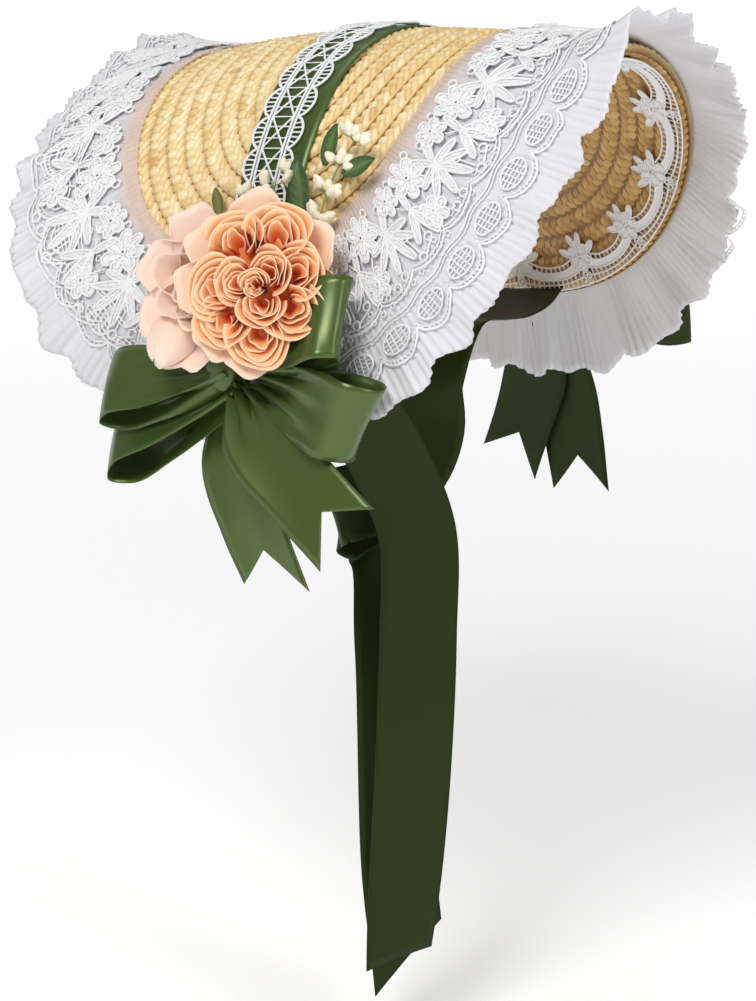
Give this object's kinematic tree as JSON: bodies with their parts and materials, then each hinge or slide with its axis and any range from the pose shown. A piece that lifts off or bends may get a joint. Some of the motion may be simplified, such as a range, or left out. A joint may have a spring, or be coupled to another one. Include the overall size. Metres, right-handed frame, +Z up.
{
  "type": "poke bonnet",
  "caption": "Straw poke bonnet arched over the head, edged with pleated frill and lace, with a crown ribbon, silk flower, bows at the ears and long ribbon ties.",
  "frame": {"origin": "inner top of the crown, midway between the face and nape edges along the ridge, where the bonnet sits on the head", "axes": "+Z up, the face opening towards -Y, the wearer's left ear towards +X"},
  "size_m": [0.3204, 0.3526, 0.5122],
  "materials": {
    "straw": "sewn plait of glossy natural straw",
    "sheer": "sheer white organza in fine knife pleats",
    "net_lace": "soft white embroidered net",
    "corded_lace": "white corded cotton lace",
    "satin": "olive green satin ribbon",
    "peach_silk": "peach silk petals, deeper at the heart",
    "blush_silk": "pale blush silk petals",
    "bud": "cream stamen buds",
    "leaf": "stiffened green cloth"
  },
  "bodies": {
    "root": {"straw_crown": "straw", "frill": "sheer", "lace_net": "net_lace", "lace_guipure": "corded_lace", "lace_inner": "corded_lace", "crown_lace": "corded_lace", "crown_ribbon": "satin", "bow_loop_back_upper": "satin", "bow_loop_back_lower": "satin", "bow_loop_front_upper": "satin", "bow_loop_front_lower": "satin", "bow_tail_back": "satin", "bow_tail_front": "satin", "bow_knot": "satin", "far_bow_loop_back": "satin", "far_bow_loop_front": "satin", "far_bow_tail_back": "satin", "far_bow_tail_front": "satin", "far_bow_knot": "satin", "tie_near": "satin", "tie_far": "satin", "bloom_main": "peach_silk", "bloom_back": "blush_silk", "bloom_low": "blush_silk", "bud_spray_back": "bud", "bud_spray_front": "bud", "leaf_1": "leaf", "leaf_2": "leaf", "leaf_3": "leaf", "leaf_4": "leaf", "leaf_5": "leaf"}
  },
  "joints": []
}
